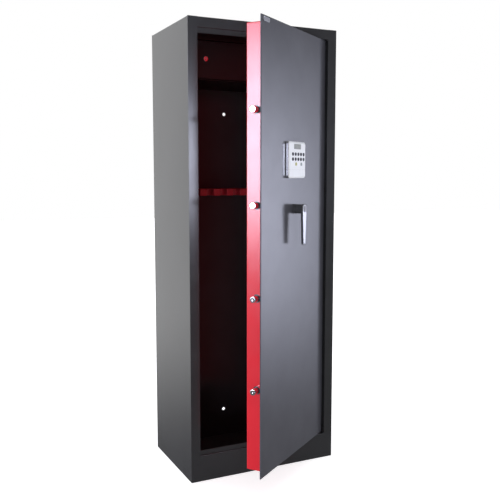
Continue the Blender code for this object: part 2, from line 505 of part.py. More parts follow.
# ---- keypad -------------------------------------------------------------------------------------
def keypad_case():
    """Back plate, hollow housing with its key holes, and the display window."""
    plate_front = FRONT - 0.0018
    outline = rounded_rectangle(KEYPAD_X0 + 0.001, KEYPAD_LOW + 0.001, KEYPAD_X1 - 0.001, KEYPAD_HIGH - 0.001, 0.007)
    plate = prism("keypad_base", outline, "Y", FRONT - FIT, plate_front, "keypad_grey", "door_axis")
    drill(plate, "Y", OVERRIDE, 0.0075, FRONT - 0.02, FRONT + 0.01, "door_axis")
    back = plate_front - FIT
    low = COVER_TOP + FIT
    corner = 0.008
    shape = [(KEYPAD_X0, low), (KEYPAD_X1, low)] + [
        (cx + corner * math.cos(math.radians(first + 90 * k / 5)),
         KEYPAD_HIGH - corner + corner * math.sin(math.radians(first + 90 * k / 5)))
        for cx, first in ((KEYPAD_X1 - corner, 0), (KEYPAD_X0 + corner, 90)) for k in range(6)]
    case = prism("keypad_housing", shape, "Y", back, KEYPAD_FRONT, "keypad_white", "door_axis")
    hollow = box("guide_keypad_hollow", (KEYPAD_X0 + 0.002, KEYPAD_FRONT + KEYPAD_WALL, low + 0.002),
                 (KEYPAD_X1 - 0.002, back + 0.01, KEYPAD_HIGH - 0.004), "keypad_white", "door_axis")
    boolean(case, hollow, "DIFFERENCE")
    through = (KEYPAD_FRONT - 0.005, KEYPAD_FRONT + KEYPAD_WALL + 0.002)
    play = 0.0003
    for centre in key_centres():
        outline = stadium(KEY_SIZE[0] + 2 * play, KEY_SIZE[1] + 2 * play, centre, 6)
        slot(case, outline, "Y", *through, "door_axis")
    for inset in BUTTON_INSETS:
        drill(case, "Y", (DOOR_LEFT + inset, 0, BUTTON_Z), BUTTON_R + play, *through, "door_axis")
    window = (KEYPAD_MID - 0.0280, 1.0915, KEYPAD_MID + 0.0245, 1.1078)
    slot(case, rounded_rectangle(*window, 0.0015, 2), "Y", *through, "door_axis")
    pane = (window[0] + play, window[1] + play, window[2] - play, window[3] - play)
    prism("keypad_display", rounded_rectangle(*pane, 0.0013, 2), "Y", KEYPAD_FRONT + KEYPAD_WALL,
          KEYPAD_FRONT + 0.0006, "display", "door_axis")


def key_centres():
    """Centres of the ten keys: two rows of five."""
    middle = DOOR_LEFT + 0.2250
    return [(middle + (column - 2) * KEY_PITCH, row) for row in KEY_ROWS for column in range(5)]


def pressed_piece(name, inner, outer, finish_name):
    """A key cap that shows through the housing, with a flange behind the wall to keep it in."""
    proud, wall_back = KEYPAD_FRONT - 0.0014, KEYPAD_FRONT + KEYPAD_WALL + FIT
    axis_empty(name + "_axis", Vector((sum(p[0] for p in outer) / len(outer), KEYPAD_FRONT,
                                       sum(p[1] for p in outer) / len(outer))), "door_axis")
    bm = bmesh.new()
    rings = []
    for outline, depth in ((inner, proud), (inner, wall_back), (outer, wall_back), (outer, wall_back + 0.0015)):
        rings.append([bm.verts.new((x, depth, z)) for x, z in outline])
    bm.faces.new(rings[0])
    bm.faces.new(rings[-1])
    for near, far in zip(rings, rings[1:]):
        for k in range(len(near)):
            n = (k + 1) % len(near)
            bm.faces.new((near[k], near[n], far[n], far[k]))
    finish(name, bm, finish_name, name + "_axis", HOMES[name + "_axis"])


def keypad_buttons():
    """Ten oval keys and two round buttons, each free to travel inwards."""
    for number, centre in enumerate(key_centres()):
        pressed_piece("key_{}".format((number + 1) % 10), stadium(*KEY_SIZE, centre, 6),
                      stadium(KEY_SIZE[0] + 0.0016, KEY_SIZE[1] + 0.0016, centre, 6), "key_navy")
    for name, inset in zip(("button_enter", "button_clear"), BUTTON_INSETS):
        centre = (DOOR_LEFT + inset, BUTTON_Z)
        pressed_piece(name, stadium(2 * BUTTON_R, 2 * BUTTON_R - 1e-5, centre, 8),
                      stadium(2 * BUTTON_R + 0.0016, 2 * BUTTON_R + 0.0016, centre, 8),
                      "button_olive" if name == "button_enter" else "button_green")


def override():
    """The sliding cover at the keypad's foot and the key lock that it hides."""
    axis_empty("key_cover_axis", Vector((KEYPAD_MID, KEYPAD_FRONT, COVER_TOP)), "door_axis")
    back = FRONT - 0.0018 - FIT
    corner = 0.008
    shape = [(KEYPAD_X1, COVER_TOP), (KEYPAD_X0, COVER_TOP)] + [
        (cx + corner * math.cos(math.radians(first + 90 * k / 5)),
         KEYPAD_LOW + corner + corner * math.sin(math.radians(first + 90 * k / 5)))
        for cx, first in ((KEYPAD_X0 + corner, 180), (KEYPAD_X1 - corner, 270)) for k in range(6)]
    cover = prism("key_cover", shape, "Y", back, KEYPAD_FRONT, "keypad_white", "key_cover_axis")
    hollow = box("guide_key_cover_hollow", (KEYPAD_X0 + 0.006, KEYPAD_FRONT + 0.0020, KEYPAD_LOW + 0.002),
                 (KEYPAD_X1 - 0.006, back + 0.01, COVER_TOP + 0.01), "keypad_white", "key_cover_axis")
    boolean(cover, hollow, "DIFFERENCE")
    axis_empty("override_axis", OVERRIDE, "door_axis")
    barrel = turned("override_lock", [(0, FRONT - 0.0108), (0.0095, FRONT - 0.0108), (0.0095, FRONT - 0.0022),
                                      (0.0070, FRONT - 0.0022), (0.0070, DOOR_BACK + 0.014), (0, DOOR_BACK + 0.014)],
                    "Y", OVERRIDE, "brass", "override_axis")
    slot(barrel, rectangle(0.0016, 0.0080, (OVERRIDE.x, OVERRIDE.z)), "Y", FRONT - 0.02, FRONT - 0.005,
         "override_axis")


def build():
    cabinet_panels()
    front_frame()
    hinge_fittings()
    gun_rack()
    ammunition_box()
    axis_empty("door_axis", HINGE, turn=DOOR_OPEN)
    door_shell()
    bolt_bushes()
    bolt_work()
    handle()
    lock_parts()
    keypad_case()
    keypad_buttons()
    override()


for old in list(bpy.data.objects):
    bpy.data.objects.remove(old, do_unlink=True)
MATERIALS = {name: material(name, *values) for name, values in FINISHES.items()}
build()
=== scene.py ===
"""Looks of the gun safe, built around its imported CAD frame.

Metres, +Z up. Pieces on the door are drawn as if the door were shut and then placed with DOOR, the
turn about the hinge that brings them to where the frame has them at rest.
"""

import json
import math

import bmesh
import bpy
from mathutils import Euler, Matrix, Vector


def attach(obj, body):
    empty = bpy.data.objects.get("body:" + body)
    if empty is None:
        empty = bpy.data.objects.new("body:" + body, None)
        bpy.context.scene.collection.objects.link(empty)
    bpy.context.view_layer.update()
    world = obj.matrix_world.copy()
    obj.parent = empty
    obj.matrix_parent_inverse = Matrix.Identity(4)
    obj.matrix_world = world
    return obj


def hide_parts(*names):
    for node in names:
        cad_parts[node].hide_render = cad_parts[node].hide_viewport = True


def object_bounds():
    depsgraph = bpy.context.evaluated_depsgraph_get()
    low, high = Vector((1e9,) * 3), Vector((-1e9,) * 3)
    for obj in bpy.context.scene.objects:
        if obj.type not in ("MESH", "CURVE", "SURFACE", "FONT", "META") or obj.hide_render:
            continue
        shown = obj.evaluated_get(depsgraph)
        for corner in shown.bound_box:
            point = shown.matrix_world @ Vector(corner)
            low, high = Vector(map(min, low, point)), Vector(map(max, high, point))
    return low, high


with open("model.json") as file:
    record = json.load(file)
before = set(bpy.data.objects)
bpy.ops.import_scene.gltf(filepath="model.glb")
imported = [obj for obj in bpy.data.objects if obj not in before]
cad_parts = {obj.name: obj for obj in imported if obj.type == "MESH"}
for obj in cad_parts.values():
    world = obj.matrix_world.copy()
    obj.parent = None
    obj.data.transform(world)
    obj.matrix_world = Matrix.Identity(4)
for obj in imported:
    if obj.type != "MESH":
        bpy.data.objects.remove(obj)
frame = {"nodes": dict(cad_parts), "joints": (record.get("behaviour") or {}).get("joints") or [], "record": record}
CAD_LOW, CAD_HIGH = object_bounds()

JOINTS = {joint["name"]: joint for joint in frame["joints"]}
HINGE = Vector(JOINTS["door_hinge"]["pos_m"])
DOOR_OPEN = math.radians(-JOINTS["door_hinge"]["range_deg"][0])
DOOR = Matrix.Translation(HINGE) @ Matrix.Rotation(DOOR_OPEN, 4, "Z") @ Matrix.Translation(-HINGE)
ON_CABINET = ("cabinet", "ammo_door", "ammo_lock")
NODE_BODY = {node: body for body, nodes in frame["record"]["behaviour"]["bodies"].items() for node in nodes}
SLOT_OF = {node: made.data.materials[0].name.split(".")[0] for node, made in frame["nodes"].items()}


def home(body):
    """Where a body's drawing frame stands at rest."""
    return Matrix.Identity(4) if body in ON_CABINET else DOOR


def drawn_box(node):
    """Lowest and highest corner of a CAD node in its own drawing frame."""
    back = home(NODE_BODY[node]).inverted()
    corners = [back @ v.co for v in frame["nodes"][node].data.vertices]
    return (Vector(map(min, zip(*corners))), Vector(map(max, zip(*corners))))


def middle_of(low, high):
    """The middle of a box as seen from the front."""
    return ((low.x + high.x) / 2, (low.z + high.z) / 2)


# ---- materials ----------------------------------------------------------------------------------
NOISE_LOW, NOISE_HIGH = 0.3, 0.7      # the part of the noise's range that is mapped
COLOUR_DETAIL, GLOSS_DETAIL, WAVE_DETAIL = 4.0, 5.0, 2.0
GLOSS_FINER = 2.7                     # gloss wanders in smaller patches than colour


def shader_of(name, colour, roughness, metallic=0.0, **extra):
    """A Principled material; extra names sockets with underscores for spaces."""
    made = bpy.data.materials.new(name)
    made.use_nodes = True
    shader = made.node_tree.nodes["Principled BSDF"]
    shader.inputs["Base Color"].default_value = (*colour, 1)
    shader.inputs["Roughness"].default_value = roughness
    shader.inputs["Metallic"].default_value = metallic
    for socket, value in extra.items():
        shader.inputs[socket.replace("_", " ")].default_value = value
    return made, made.node_tree, shader


def noise(tree, scale, detail):
    """Noise in the object's own metres; scale is features per metre."""
    place = tree.nodes.new("ShaderNodeTexCoord")
    made = tree.nodes.new("ShaderNodeTexNoise")
    made.inputs["Scale"].default_value = scale
    made.inputs["Detail"].default_value = detail
    tree.links.new(place.outputs["Object"], made.inputs["Vector"])
    return made.outputs["Fac"]


def spread(tree, value, low, high):
    """Map a noise value's middle range onto low..high."""
    made = tree.nodes.new("ShaderNodeMapRange")
    made.inputs["From Min"].default_value = NOISE_LOW
    made.inputs["From Max"].default_value = NOISE_HIGH
    made.inputs["To Min"].default_value = low
    made.inputs["To Max"].default_value = high
    tree.links.new(value, made.inputs["Value"])
    return made.outputs["Result"]


def tint(tree, value, dark, light):
    """Blend two colours by a noise value."""
    ramp = tree.nodes.new("ShaderNodeValToRGB")
    ramp.color_ramp.elements[0].position = NOISE_LOW
    ramp.color_ramp.elements[0].color = (*dark, 1)
    ramp.color_ramp.elements[1].position = NOISE_HIGH
    ramp.color_ramp.elements[1].color = (*light, 1)
    tree.links.new(value, ramp.inputs["Fac"])
    return ramp.outputs["Color"]


def bump(tree, height, depth, under=None):
    """A bump of that depth in metres, on top of another bump."""
    made = tree.nodes.new("ShaderNodeBump")
    made.inputs["Strength"].default_value = 1.0
    made.inputs["Distance"].default_value = depth
    tree.links.new(height, made.inputs["Height"])
    if under is not None:
        tree.links.new(under, made.inputs["Normal"])
    return made.outputs["Normal"]


def shade(colour, factor):
    return tuple(min(1.0, channel * factor) for channel in colour)


def finish_material(name, colour, roughness, metallic=0.0, vary=0.08, rough_vary=0.04, patch=9.0, waves=(),
                    **extra):
    """Colour and gloss that wander slightly over the surface, and bumps given as (scale, depth) waves."""
    made, tree, shader = shader_of(name, colour, roughness, metallic, **extra)
    wander = noise(tree, patch, COLOUR_DETAIL)
    mixed = tint(tree, wander, shade(colour, 1 - vary), shade(colour, 1 + vary))
    tree.links.new(mixed, shader.inputs["Base Color"])
    gloss = noise(tree, patch * GLOSS_FINER, GLOSS_DETAIL)
    rough = spread(tree, gloss, roughness - rough_vary, roughness + rough_vary)
    tree.links.new(rough, shader.inputs["Roughness"])
    normal = None
    for scale, depth in waves:
        normal = bump(tree, noise(tree, scale, WAVE_DETAIL), depth, normal)
    if normal is not None:
        tree.links.new(normal, shader.inputs["Normal"])
    return made


PEEL = ((900, 0.000002),)             # the fine ripple of sprayed paint
MATERIALS = {
    "cabinet_paint": finish_material("cabinet_paint", (0.024, 0.024, 0.025), 0.18, rough_vary=0.01,
                                     waves=PEEL),
    "door_paint": finish_material("door_paint", (0.060, 0.060, 0.070), 0.23, rough_vary=0.015,
                                  waves=PEEL),
    "red_paint": finish_material("red_paint", (0.45, 0.010, 0.018), 0.20, rough_vary=0.02, vary=0.04,
                                 waves=((700, 0.000008),)),
    "black_lining": finish_material("black_lining", (0.004, 0.0035, 0.004), 0.45, waves=PEEL),
    "mat_rubber": finish_material("mat_rubber", (0.010, 0.010, 0.011), 0.70, vary=0.2,
                                  waves=((1500, 0.00005),)),
    "zinc_steel": finish_material("zinc_steel", (0.55, 0.56, 0.57), 0.34, 1.0, vary=0.15, patch=60,
                                  waves=((1200, 0.000012),)),
    "bolt_chrome": finish_material("bolt_chrome", (0.78, 0.79, 0.81), 0.12, 1.0, vary=0.03, rough_vary=0.03,
                                   patch=40, waves=((1500, 0.000003),)),
    "handle_chrome": finish_material("handle_chrome", (0.43, 0.43, 0.445), 0.30, 1.0, vary=0.03,
                                     rough_vary=0.03, patch=40, waves=((1500, 0.000004),)),
    "dark_steel": finish_material("dark_steel", (0.050, 0.050, 0.056), 0.24, 0.0, vary=0.2, patch=50,
                                  waves=((1500, 0.000005),)),
    "keypad_white": finish_material("keypad_white", (0.76, 0.77, 0.80), 0.38, vary=0.02, patch=30,
                                    waves=((2500, 0.000010),)),
    "keypad_grey": finish_material("keypad_grey", (0.25, 0.25, 0.28), 0.35, vary=0.05, patch=30,
                                   waves=((2500, 0.000010),)),
    "key_navy": finish_material("key_navy", (0.010, 0.011, 0.026), 0.45, vary=0.1, patch=60,
                                Specular_IOR_Level=0.25),
    "button_olive": finish_material("button_olive", (0.46, 0.44, 0.12), 0.35, vary=0.1, patch=60,
                                    waves=((3000, 0.000008),)),
    "button_green": finish_material("button_green", (0.22, 0.26, 0.26), 0.35, vary=0.1, patch=60,
                                    waves=((3000, 0.000008),)),
    "display": finish_material("display", (0.26, 0.27, 0.26), 0.30, vary=0.05, patch=80,
                               Specular_IOR_Level=0.15),
    "brass": finish_material("brass", (0.70, 0.52, 0.22), 0.28, 1.0, vary=0.1, patch=60,
                             waves=((1500, 0.000010),)),
    "circuit_board": finish_material("circuit_board", (0.02, 0.12, 0.05), 0.45, vary=0.3, patch=200,
                                     waves=((600, 0.00005),)),
    "rack_rubber": finish_material("rack_rubber", (0.30, 0.008, 0.016), 0.60, vary=0.1, patch=30,
                                   waves=((1200, 0.00008),)),
}


def dull_edges(made):
    """Less shine where the surface doesn't face front or back, so that the plate's edges stay dark."""
    tree = made.node_tree
    way = tree.nodes.new("ShaderNodeSeparateXYZ")
    tree.links.new(tree.nodes.new("ShaderNodeTexCoord").outputs["Normal"], way.inputs[0])
    size = tree.nodes.new("ShaderNodeMath")
    size.operation = "ABSOLUTE"
    tree.links.new(way.outputs["Y"], size.inputs[0])
    gloss = tree.nodes.new("ShaderNodeMapRange")
    for socket, value in zip(("From Min", "From Max", "To Min", "To Max"), (0.3, 0.8, 0.04, 0.5)):
        gloss.inputs[socket].default_value = value
    tree.links.new(size.outputs[0], gloss.inputs["Value"])
    tree.links.new(gloss.outputs["Result"], tree.nodes["Principled BSDF"].inputs["Specular IOR Level"])


dull_edges(MATERIALS["door_paint"])


# ---- mesh tools ---------------------------------------------------------------------------------
PIECES = []
SHARP_ABOVE, ROUND_ABOVE, FLAT_BELOW = math.radians(32), math.radians(28), math.radians(0.5)
WELD = 0.00002
SAME_LENGTH = 0.00005
UP = Vector((0, 0, 1))


def keep_corners(mesh):
    """Smooth shading that stays sharp at corners."""
    mesh.shade_smooth()
    mesh.set_sharp_from_angle(angle=SHARP_ABOVE)


def put(bm, name, body, slot, *nodes):
    """Make a piece from a bmesh in its body's drawing frame, place it, and tie it to the frame."""
    bmesh.ops.recalc_face_normals(bm, faces=bm.faces)
    mesh = bpy.data.meshes.new(name)
    bm.to_mesh(mesh)
    bm.free()
    keep_corners(mesh)
    mesh.materials.append(MATERIALS[slot])
    piece = bpy.data.objects.new(name, mesh)
    bpy.context.scene.collection.objects.link(piece)
    piece.matrix_world = home(body)
    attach(piece, body)
    if nodes:
        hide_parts(*nodes)
    PIECES.append(piece)
    return piece


def bend(piece, width, segments):
    """Round the edges that carry a bevel weight."""
    step = piece.modifiers.new("edges", "BEVEL")
    step.limit_method = "WEIGHT"
    step.width = width
    step.segments = segments
    step.miter_outer = "MITER_ARC"
    return piece


def weigh(bm, radius_of, widest):
    """Give each sharp edge the bevel weight of the radius that radius_of(middle, direction) names."""
    layer = bm.edges.layers.float.get("bevel_weight_edge") or bm.edges.layers.float.new("bevel_weight_edge")
    for edge in bm.edges:
        if edge.is_manifold and edge.calc_face_angle() > ROUND_ABOVE:
            middle = (edge.verts[0].co + edge.verts[1].co) / 2
            direction = (edge.verts[1].co - edge.verts[0].co).normalized()
            edge[layer] = min(1.0, radius_of(middle, direction) / widest)


def cleaned(node):
    """A CAD node's mesh in its drawing frame, welded and with flat faces whole again."""
    bm = bmesh.new()
    bm.from_mesh(frame["nodes"][node].data)
    bmesh.ops.transform(bm, matrix=home(NODE_BODY[node]).inverted(), verts=bm.verts)
    bmesh.ops.remove_doubles(bm, verts=bm.verts, dist=WELD)
    bmesh.ops.dissolve_limit(bm, angle_limit=FLAT_BELOW, verts=bm.verts, edges=bm.edges)
    return bm


def refined(node, radius, radius_of=None, cuts=(), segments=3, fit=None):
    """A CAD node with its edges rounded: a finer copy that stands for it. Edges are split at cut heights."""
    bm = cleaned(node)
    if fit is not None:
        for vertex in bm.verts:
            vertex.co = fit(vertex.co)
    for height in cuts:
        bmesh.ops.bisect_plane(bm, geom=bm.verts[:] + bm.edges[:] + bm.faces[:], plane_co=UP * height,
                               plane_no=UP)
    weigh(bm, radius_of or (lambda middle, direction: radius), radius)
    return bend(put(bm, "fine_" + node, NODE_BODY[node], SLOT_OF[node], node), radius, segments)


def loft(rings):
    """Skin a list of point rings and cap both ends."""
    bm = bmesh.new()
    made = [[bm.verts.new(point) for point in ring] for ring in rings]
    for near, far in zip(made, made[1:]):
        for k in range(len(near)):
            n = (k + 1) % len(near)
            bm.faces.new((near[k], near[n], far[n], far[k]))
    bm.faces.new(made[0])
    bm.faces.new(made[-1])
    return bm


def stations(outline_at, steps):
    """Rings of an outline in X-Z at (inset, y) steps."""
    return [[(x, y, z) for x, z in outline_at(inset)] for inset, y in steps]


def rounded_rectangle(x0, z0, x1, z1, radius, steps, low_radius=None):
    """The lower corners take low_radius if it is given."""
    under = radius if low_radius is None else low_radius
    corners = ((x1 - under, z0 + under, under, -90), (x1 - radius, z1 - radius, radius, 0),
               (x0 + radius, z1 - radius, radius, 90), (x0 + under, z0 + under, under, 180))
    points = []
    for cx, cz, turn, first in corners:
        for k in range(steps + 1):
            angle = math.radians(first + 90 * k / steps)
            points.append((cx + turn * math.cos(angle), cz + turn * math.sin(angle)))
    return points


def stadium(centre, width, height, steps=12):
    """Two half circles joined along the longer way, or one circle when both ways are equal."""
    radius = min(width, height) / 2
    across, up = width / 2 - radius, height / 2 - radius
    if max(across, up) < SAME_LENGTH:
        turns = [math.pi * k / steps for k in range(2 * steps)]
        return [(centre[0] + radius * math.cos(a), centre[1] + radius * math.sin(a)) for a in turns]
    first = -90 if across >= up else 0
    points = []
    for side in (1, -1):
        for k in range(steps + 1):
            angle = math.radians(first + 180 * k / steps)
            points.append((centre[0] + side * (across + radius * math.cos(angle)),
                           centre[1] + side * (up + radius * math.sin(angle))))
    return points


TO_AXIS = {"X": Matrix.Rotation(math.pi / 2, 4, "Y"), "Y": Matrix.Rotation(-math.pi / 2, 4, "X"),
           "Z": Matrix.Identity(4)}


def lathe(profile, axis, centre, steps=64):
    """Spin (radius, place along the axis) points; a radius of 0 closes on the axis."""
    bm = bmesh.new()
    rings = []
    for radius, along in profile:
        count = steps if radius else 1
        turns = [2 * math.pi * k / count for k in range(count)]
        rings.append([bm.verts.new((radius * math.cos(a), radius * math.sin(a), along)) for a in turns])
    bands = list(zip(rings, rings[1:]))
    if profile[0][0] and profile[-1][0]:
        bands.append((rings[-1], rings[0]))
    for low, high in bands:
        for k in range(steps):
            n = k + 1
            corners = [low[k % len(low)], low[n % len(low)], high[n % len(high)], high[k % len(high)]]
            bm.faces.new(list(dict.fromkeys(corners)))
    bmesh.ops.transform(bm, matrix=TO_AXIS[axis], verts=bm.verts)
    middle = Vector(centre)
    middle["XYZ".index(axis)] = 0
    bmesh.ops.translate(bm, vec=middle, verts=bm.verts)
    return bm


def drill(axis, centre, radius, at, reach, steps):
    """A round cutter along an axis, reaching both ways from the place at."""
    profile = [(0, at - reach), (radius, at - reach), (radius, at + reach), (0, at + reach)]
    return lathe(profile, axis, centre, steps)


def carve(piece, cutters):
    """Cut solids, given as bmeshes in the piece's frame, out of a piece and keep the result."""
    tools = []
    for cutter in cutters:
        bmesh.ops.recalc_face_normals(cutter, faces=cutter.faces)
        mesh = bpy.data.meshes.new("cutter")
        cutter.to_mesh(mesh)
        cutter.free()
        tool = bpy.data.objects.new("cutter", mesh)
        bpy.context.scene.collection.objects.link(tool)
        tool.matrix_world = piece.matrix_world
        step = piece.modifiers.new("cut", "BOOLEAN")
        step.operation = "DIFFERENCE"
        step.solver = "EXACT"
        step.object = tool
        tools.append(tool)
    bpy.context.view_layer.update()
    made = bpy.data.meshes.new_from_object(piece.evaluated_get(bpy.context.evaluated_depsgraph_get()))
    made.name = piece.name
    piece.modifiers.clear()
    piece.data = made
    for tool in tools:
        bpy.data.objects.remove(tool)
    keep_corners(made)
    return piece


def slab(outline, y0, y1):
    """An outline pushed from y0 to y1."""
    return loft([[(x, y, z) for x, z in outline] for y in (y0, y1)])


def block(low, high):
    bm = bmesh.new()
    bmesh.ops.create_cube(bm, size=1)
    bmesh.ops.scale(bm, vec=Vector(high) - Vector(low), verts=bm.verts)
    bmesh.ops.translate(bm, vec=(Vector(low) + Vector(high)) / 2, verts=bm.verts)
    return bm


# ---- cabinet ------------------------------------------------------------------------------------
OUTER_BEND, FOLD_BEND, BACK_BEND, BURR = 0.0022, 0.0020, 0.0018, 0.0003
TOUCH = 0.0003                        # the gap that the CAD leaves between pieces that touch
STOP_HEIGHT = 0.016                   # the rails' folded stops
FRAME_LOW = drawn_box("rail_bottom")[1].z - STOP_HEIGHT
FRAME_HIGH = drawn_box("rail_top")[0].z + STOP_HEIGHT
ALONG = 0.9                           # a unit direction's share that counts as along an axis
HOLES_WITHIN = 0.05                   # the back's holes are this close to its middle


def near(value, target, reach=0.0004):
    return abs(value - target) < reach


def front_frame():
    """Stiles and rails with bent corners; their joints are ground flush, so no edge shows there."""
    low, high = drawn_box("stile_left")
    opening_left = drawn_box("rail_top")[0].x
    opening_right = drawn_box("rail_top")[1].x
    front, left, right, top = low.y, low.x, drawn_box("stile_right")[1].x, high.z

    def stile_radius(middle, direction):
        upright = abs(direction.z) > ALONG
        if upright and near(middle.y, front) and (near(middle.x, left) or near(middle.x, right)):
            return OUTER_BEND
        if upright and near(middle.y, front):
            return FOLD_BEND if FRAME_LOW < middle.z < FRAME_HIGH else 0
        if near(middle.z, top) and (near(middle.y, front) or near(middle.x, left) or near(middle.x, right)):
            return OUTER_BEND
        return BURR

    def rail_radius(middle, direction):
        if abs(direction.x) <= ALONG:
            return 0
        if near(middle.y, front):
            return OUTER_BEND if near(middle.z, top) else (BURR if near(middle.z, 0) else FOLD_BEND)
        return BURR

    def close_up(point):
        """The rails' ends meet the stiles."""
        if near(point.x, opening_left):
            return Vector((opening_left - TOUCH, point.y, point.z))
        if near(point.x, opening_right):
            return Vector((opening_right + TOUCH, point.y, point.z))
        return point

    cuts = (FRAME_LOW, FRAME_HIGH)
    refined("stile_left", OUTER_BEND, stile_radius, cuts, segments=4)
    refined("stile_right", OUTER_BEND, stile_radius, cuts, segments=4)
    refined("rail_top", OUTER_BEND, rail_radius, fit=close_up, segments=4)
    refined("rail_bottom", OUTER_BEND, rail_radius, fit=close_up, segments=4)


def cabinet_panels():
    """Side, top, base and back sheets; the top and back edges are bent, the rest lie against folds."""
    top, back = CAD_HIGH.z, drawn_box("back_panel")[1].y
    left, right = drawn_box("side_left")[0].x, drawn_box("side_right")[1].x

    def radius(middle, direction):
        outside = near(middle.x, left) or near(middle.x, right)
        return OUTER_BEND if near(middle.z, top) and outside else BURR

    def back_radius(middle, direction):
        across = near(middle.y, back) and abs(direction.y) < 1 - ALONG
        return BACK_BEND if across and abs(middle.x) >= HOLES_WITHIN else BURR

    refined("side_left", OUTER_BEND, radius)
    refined("side_right", OUTER_BEND, radius)
    refined("top_panel", BURR)
    refined("base_panel", BURR)
    refined("back_panel", BACK_BEND, back_radius)


def floor_mat():
    """A ribbed rubber mat."""
    low, high = drawn_box("floor_mat")
    pitch, groove = 0.006, 0.0012
    slope, share = 0.15, 0.98
    outline = [(low.y, low.z), (high.y, low.z)]
    count = int((high.y - low.y) / pitch)
    for k in range(count, 0, -1):
        start = low.y + k * pitch
        rib = ((0, high.z - groove), (-slope, high.z), (slope - 1, high.z), (-1, high.z - groove))
        for part, height in rib:
            outline.append((start + part * pitch * share, height))
    bm = loft([[(x, y, z) for y, z in outline] for x in (low.x, high.x)])
    put(bm, "ribbed_mat", "cabinet", "mat_rubber", "floor_mat")


def fittings():
    """Small steel and plastic pieces whose CAD shape is right once its edges are rounded."""
    for node in ("hinge_bracket_top", "hinge_bracket_bottom", "solenoid_body", "bolt_bar",
                 "spindle", "control_board", "battery_box", "ammo_cam", "keypad_base"):
        refined(node, 0.0006, segments=2)
    for node in ("hinge_pin_top", "hinge_pin_bottom", "ammo_hinge_pin", "plunger"):
        refined(node, 0.0003, segments=2)
    refined("gun_rack", 0.0025, segments=4)
    refined("ammo_floor", 0.0005)
    refined("ammo_header", 0.0005)
    refined("ammo_door", 0.0015, segments=4)
    refined("override_lock", 0.0006)
    refined("ammo_lock", 0.0005, segments=3)


# ---- door ---------------------------------------------------------------------------------------
def door_plate():
    """The CAD's plate with a finer edge."""
    refined("door_plate", 0.0008, segments=3)


def bolt_housing():
    """The folded red pan behind the door, with the holes that the bolts and hinge pins pass through."""
    low, high = drawn_box("pan_walls")
    back = drawn_box("pan_cover")[1].y
    sheet, fold, bolt_hole, pin_hole, reach = 0.002, 0.0032, 0.013, 0.0043, 0.01
    bm = block(low, (high.x, back, high.z))
    front = [f for f in bm.faces if f.normal.y < -0.9]
    bmesh.ops.delete(bm, geom=front, context="FACES_ONLY")
    bmesh.ops.bevel(bm, geom=[e for e in bm.edges if not e.is_boundary], offset=fold, segments=5, profile=0.5,
                    affect="EDGES")
    pan = put(bm, "bolt_housing", "door", "red_paint", "pan_walls", "pan_cover")
    shell = pan.modifiers.new("sheet", "SOLIDIFY")
    shell.thickness = sheet
    shell.offset = -1
    cutters = []
    for number in range(1, 5):
        bush_low, bush_high = drawn_box("bolt_bush_{}".format(number))
        cutters.append(drill("X", (bush_low + bush_high) / 2, bolt_hole, low.x, reach, 32))
    for z in (low.z, high.z):
        cutters.append(drill("Z", HINGE, pin_hole, z, reach, 24))
    carve(pan, cutters)
    housing_screws(low, high, back)


def housing_screws(low, high, back):
    """Two columns of five domed cross-head screws on the housing's cover."""
    inset, head_r, dome_height, sunk = 0.016, 0.0036, 0.0017, 0.0015
    slot_half, slot_thin, slot_floor, slot_top = 0.0021, 0.0004, 0.0006, 0.003
    heights = [low.z + inset + k * (high.z - low.z - 2 * inset) / 4 for k in range(5)]
    places = [(x, z) for x in (low.x + inset, high.x - inset) for z in heights]
    for number, (x, z) in enumerate(places):
        turns = [math.radians(a) for a in range(0, 90, 15)]
        dome = [(head_r * math.cos(a), back + dome_height * math.sin(a)) for a in turns]
        profile = [(0, back - sunk), (head_r, back - sunk)] + dome + [(0, back + dome_height)]
        head = put(lathe(profile, "Y", (x, 0, z), 28), "housing_screw_{}".format(number + 1), "door",
                   "zinc_steel")
        cross = [block((x - a, back + slot_floor, z - b), (x + a, back + slot_top, z + b))
                 for a, b in ((slot_half, slot_thin), (slot_thin, slot_half))]
        carve(head, cross)


def bolts():
    """Turned chrome bars, rounded at the tip, with the lathe's centre mark."""
    rounding, chamfer = 0.0016, 0.0004
    for number in range(1, 5):
        node = "bolt_{}".format(number)
        low, high = drawn_box(node)
        radius, tip, end = (high.z - low.z) / 2, low.x, high.x
        nose = [(0, tip + 0.0012), (0.0012, tip + 0.0004), (0.0022, tip)]
        for turn in [math.radians(a) for a in range(0, 91, 15)]:
            nose.append((radius - rounding + rounding * math.sin(turn),
                         tip + rounding - rounding * math.cos(turn)))
        heel = [(radius, end - chamfer), (radius - chamfer, end), (0, end)]
        put(lathe(nose + heel, "X", (low + high) / 2, 56), "round_" + node, "bolts", "bolt_chrome", node)
        refined("bolt_bush_{}".format(number), 0.0004, segments=2)


def badge():
    """A blank oval badge: a polished rim round a darker dished field."""
    low, high = drawn_box("badge")
    centre = middle_of(low, high)
    width, height = high.x - low.x, high.z - low.z
    front, back = low.y, high.y
    rim = 0.0022

    def outline(inset):
        return stadium(centre, width - 2 * inset, height - 2 * inset, 16)

    rim_steps = ((0, back), (0, front + 0.0006), (0.0004, front + 0.0001), (0.0010, front),
                 (rim - 0.0004, front + 0.0001), (rim, front + 0.0006), (rim + 0.0002, front + 0.0009))
    field_steps = ((rim + 0.0001, front + 0.0011), (rim + 0.0001, front + 0.0008),
                   (rim + 0.0012, front + 0.0005))
    put(loft(stations(outline, rim_steps)), "oval_badge", "door", "zinc_steel", "badge")
    put(loft(stations(outline, field_steps)), "badge_field", "door", "keypad_grey")


